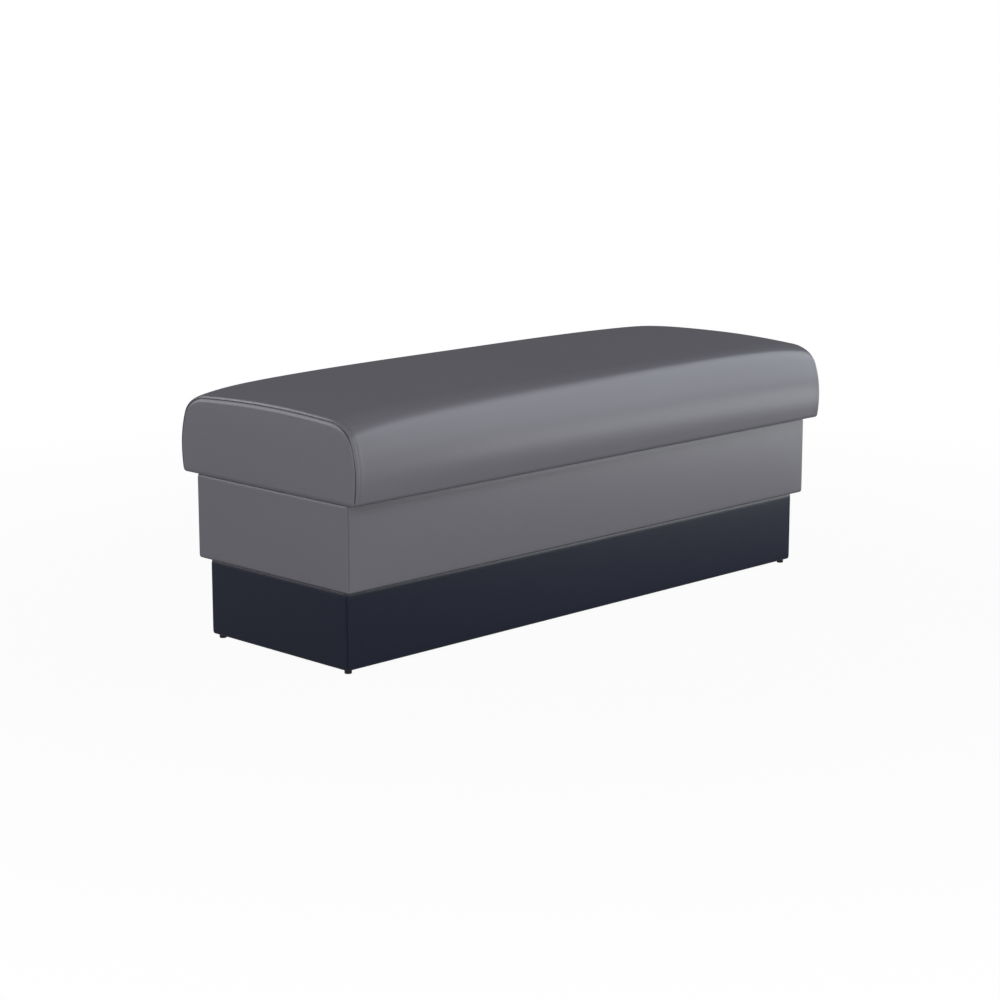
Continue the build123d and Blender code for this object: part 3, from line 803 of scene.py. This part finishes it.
def buildTier(tier, low, high):
    bm = bmesh.new()
    bmesh.ops.create_cube(bm, size=1)
    bmesh.ops.scale(bm, vec=high - low, verts=bm.verts[:])
    bmesh.ops.translate(bm, vec=(low + high) / 2, verts=bm.verts[:])
    uprights = [edge for edge in bm.edges if isUpright(edge)]
    bmesh.ops.bevel(bm, geom=uprights, offset=tier["edge"], offset_type="OFFSET", affect="EDGES",
                    segments=tier["cornerSteps"], profile=0.5, material=-1)
    rims = [edge for edge in bm.edges if isRim(edge, low, high)]
    bmesh.ops.bevel(bm, geom=rims, offset=tier["edge"] * 0.98, offset_type="OFFSET", affect="EDGES",
                    segments=tier["edgeSteps"], profile=0.5, material=-1)
    for axis in range(3):
        cutAcross(bm, axis, cutPlaces(tier, low[axis], high[axis]))
    shapeTier(bm, tier, low, high)
    bmesh.ops.recalc_face_normals(bm, faces=bm.faces[:])
    return bm


def shapeTier(bm, tier, low, high):
    # sewn corners drawn in, rims turned in softly, panels slightly full between them, with shade painted into
    # the corner seams and along the rims
    edge, reach = tier["edge"], tier["crownReach"]
    paintedShadeLayer = bm.verts.layers.float.new("seamAndPaintedShade")
    for vert in bm.verts:
        x, y, z = vert.co
        fromX, fromY = high.x - abs(x), high.y - abs(y)
        fromZ = min(z - low.z, high.z - z)
        outX, outY = math.copysign(1, x), math.copysign(1, y)
        rim = (1 - smoothStep(fromZ / tier["edgeReach"])) ** 1.5
        nearTop = high.z - z < z - low.z
        draw = tier["edgeDraw"] if nearTop else tier["lowEdgeDraw"]
        full = tier["proud"] - draw * rim
        crown = tier["crown"] * smoothStep(fromZ / reach)
        # painted shade along the top or low rim, standing in for the shadow gap between the tiers
        rimShade = tier["topShade"] if nearTop else tier["lowShade"]
        vert[paintedShadeLayer] = min(1.0, rimShade * max(0.0, 1 - fromZ / tier["shadeReach"]))
        if fromX < edge and fromY < edge:
            turn = math.degrees(math.atan2(edge - fromY, edge - fromX)) - 45
            seamAndPaintedShade = math.exp(-(turn / tier["seamTurn"]) ** 2)
            outward = Vector((outX, outY, 0)).normalized()
            vert.co += outward * (full - tier["seamDepth"] * seamAndPaintedShade * (1 - rim))
            # painted shade in the corner seam's groove
            vert[paintedShadeLayer] = max(vert[paintedShadeLayer], seamAndPaintedShade * tier["seamShade"])
        elif fromY < edge:
            vert.co.y += outY * (full + crown * smoothStep((fromX - edge) / reach))
        elif fromX < edge:
            vert.co.x += outX * (full + crown * smoothStep((fromY - edge) / reach))


def makeTier(tier):
    nodes = [tier["name"] + "_" + side + "_cover" for side in ("front", "back", "left", "right")]
    corners = [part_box(node) for node in nodes]
    low = Vector([min(corner[0][axis] for corner in corners) for axis in range(3)])
    high = Vector([max(corner[1][axis] for corner in corners) for axis in range(3)])
    slotName = tier["name"] + "_vinyl"
    bm = buildTier(tier, low, high)
    cover = finishPiece(bm, tier["name"] + "Cover", finishes[slotName], nodes)


makeTier(boxTier)
makeTier(plinthTier)
print("box and plinth covers made")


# the black cloth stapled under the plinth
clothShape = {
    "cornerCut": 0.022, "sink": 0.0006, "sag": 0.0018, "sagReach": 0.12, "pucker": 0.0005, "puckerPitch": 0.2,
}


def buildDustCloth():
    low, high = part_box("dust_cover")
    bm = bmesh.new()
    bmesh.ops.create_grid(bm, x_segments=96, y_segments=30, size=0.5)
    bmesh.ops.scale(bm, vec=(high.x - low.x, high.y - low.y, 1), verts=bm.verts[:])
    for sideX in (-1, 1):
        for sideY in (-1, 1):
            point = Vector((sideX * (high.x - clothShape["cornerCut"]), sideY * high.y, 0))
            outward = Vector((sideX, sideY, 0)).normalized()
            everything = bm.verts[:] + bm.edges[:] + bm.faces[:]
            bmesh.ops.bisect_plane(bm, geom=everything, plane_co=point, plane_no=outward, clear_outer=True)
    for vert in bm.verts:
        inX = (high.x - abs(vert.co.x)) / clothShape["sagReach"]
        inY = (high.y - abs(vert.co.y)) / clothShape["sagReach"]
        middle = smoothStep(inX) * smoothStep(inY)
        ripple = math.sin(vert.co.x * 2 * math.pi / clothShape["puckerPitch"]) * (1 - middle)
        pucker = clothShape["pucker"] * 0.5 * (1 + ripple) * smoothStep(inY * 4)
        vert.co.z = high.z - clothShape["sink"] - clothShape["sag"] * middle - pucker
    bmesh.ops.reverse_faces(bm, faces=[face for face in bm.faces if face.normal.z > 0])
    return bm, low, high


dustMesh, dustLow, dustHigh = buildDustCloth()
dustCloth = finishPiece(dustMesh, "dustCloth", finishes["dust_cloth"], ("dust_cover",))
print("dust cloth made")


# floor, room and lamps
setting = {
    "floorColour": (0.36, 0.36, 0.36),
    "floorHalf": 14,
    "floorRoughness": 0.9,
    "nearWhite": 0.955,  # share of plain white that the camera sees in the floor beside the bench
    "nearReach": 0.75,
    "farReach": 2.4,
    "glossyWhite": 0.05,  # share of the white backdrop that shows in reflections
    "sky": 0.09,
    "skyColour": (1.0, 0.98, 1.12),
    "aim": (0, 0, 0.3),  # the lamps point at this place in the bench
}
softboxes = {
    "keySoftbox": {
        "place": (3.99, -2.26, 2.29), "size": (5.2, 3.94), "radiance": 2.8, "colour": (0.95, 1.0, 1.08)},
    "lowSoftbox": {
        "place": (1.48, -1.17, 0.17), "size": (1.6, 0.32), "radiance": 3.0, "colour": (0.97, 1.0, 1.0)},
    "frontSoftbox": {
        "place": (-3.46, -3.46, 1.85), "size": (6.6, 3.2), "radiance": 4.0, "colour": (1.0, 1.0, 0.99)},
    "backSoftbox": {
        "place": (-3.36, 3.36, 1.75), "size": (3.0, 2.5), "radiance": 3.0, "colour": (1.0, 1.0, 1.1)},
    "overSoftbox": {
        "place": (-0.95, 3.3, 3.3), "size": (2.4, 1.2), "radiance": 3.9, "colour": (1.0, 1.0, 1.05)},
}


def backdropShare(tree):
    # how much of the plain white backdrop a ray sees: all of it from the camera and through glass
    path = addNode(tree, "ShaderNodeLightPath")
    glossy = addNode(tree, "ShaderNodeMath", {1: setting["glossyWhite"]}, operation="MULTIPLY")
    tree.links.new(path.outputs["Is Glossy Ray"], glossy.inputs[0])
    direct = addNode(tree, "ShaderNodeMath", operation="MAXIMUM")
    tree.links.new(path.outputs["Is Camera Ray"], direct.inputs[0])
    tree.links.new(path.outputs["Is Transmission Ray"], direct.inputs[1])
    share = addNode(tree, "ShaderNodeMath", operation="MAXIMUM")
    tree.links.new(glossy.outputs["Value"], share.inputs[0])
    tree.links.new(direct.outputs["Value"], share.inputs[1])
    return share.outputs["Value"]


def makeFloor():
    bm = bmesh.new()
    bmesh.ops.create_grid(bm, x_segments=1, y_segments=1, size=setting["floorHalf"])
    mesh = bpy.data.meshes.new("paleFloor")
    bm.to_mesh(mesh)
    bm.free()
    floor = bpy.data.objects.new("paleFloor", mesh)
    bpy.context.scene.collection.objects.link(floor)
    material, tree, shader = startMaterial("paleFloor")
    shader.inputs["Base Color"].default_value = (*setting["floorColour"], 1)
    shader.inputs["Roughness"].default_value = setting["floorRoughness"]
    shader.inputs["Specular IOR Level"].default_value = 0.0
    white = addNode(tree, "ShaderNodeEmission", {"Color": (1, 1, 1, 1), "Strength": 1.0})
    # beside the bench a share of the floor's own shading stays, and so does the shadow
    distance = addNode(tree, "ShaderNodeVectorMath", operation="LENGTH")
    tree.links.new(objectPlace(tree), distance.inputs[0])
    fade = addNode(tree, "ShaderNodeMapRange", {
        "From Min": setting["nearReach"], "From Max": setting["farReach"],
        "To Min": setting["nearWhite"], "To Max": 1.0}, interpolation_type="SMOOTHSTEP")
    tree.links.new(distance.outputs["Value"], fade.inputs["Value"])
    share = addNode(tree, "ShaderNodeMath", operation="MULTIPLY")
    tree.links.new(backdropShare(tree), share.inputs[0])
    tree.links.new(fade.outputs["Result"], share.inputs[1])
    mix = addNode(tree, "ShaderNodeMixShader")
    tree.links.new(share.outputs["Value"], mix.inputs["Fac"])
    tree.links.new(shader.outputs["BSDF"], mix.inputs[1])
    tree.links.new(white.outputs["Emission"], mix.inputs[2])
    tree.links.new(mix.outputs["Shader"], tree.nodes["Material Output"].inputs["Surface"])
    mesh.materials.append(material)


def makeWorld():
    # a dim even room for the object, plain white for the camera
    world = bpy.data.worlds.new("studio")
    bpy.context.scene.world = world
    world.use_nodes = True
    tree = world.node_tree
    tree.nodes.clear()
    room = addNode(tree, "ShaderNodeBackground", {
        "Color": (*setting["skyColour"], 1), "Strength": setting["sky"]})
    white = addNode(tree, "ShaderNodeBackground", {"Color": (1, 1, 1, 1), "Strength": 1.0})
    mix = addNode(tree, "ShaderNodeMixShader")
    tree.links.new(backdropShare(tree), mix.inputs["Fac"])
    tree.links.new(room.outputs["Background"], mix.inputs[1])
    tree.links.new(white.outputs["Background"], mix.inputs[2])
    out = addNode(tree, "ShaderNodeOutputWorld")
    tree.links.new(mix.outputs["Shader"], out.inputs["Surface"])


def makeSoftbox(name, box):
    data = bpy.data.lights.new(name, "AREA")
    data.shape = "RECTANGLE"
    data.size, data.size_y = box["size"]
    data.color = box["colour"]
    data.energy = box["radiance"] * math.pi * data.size * data.size_y
    light = bpy.data.objects.new(name, data)
    place = Vector(box["place"])
    light.location = place
    light.rotation_euler = (Vector(setting["aim"]) - place).to_track_quat("-Z", "Y").to_euler()
    light.visible_camera = False
    bpy.context.scene.collection.objects.link(light)


makeFloor()
makeWorld()
for softboxName, softbox in softboxes.items():
    makeSoftbox(softboxName, softbox)
bpy.context.scene.view_settings.view_transform = "Standard"
print("stage and lamps set")
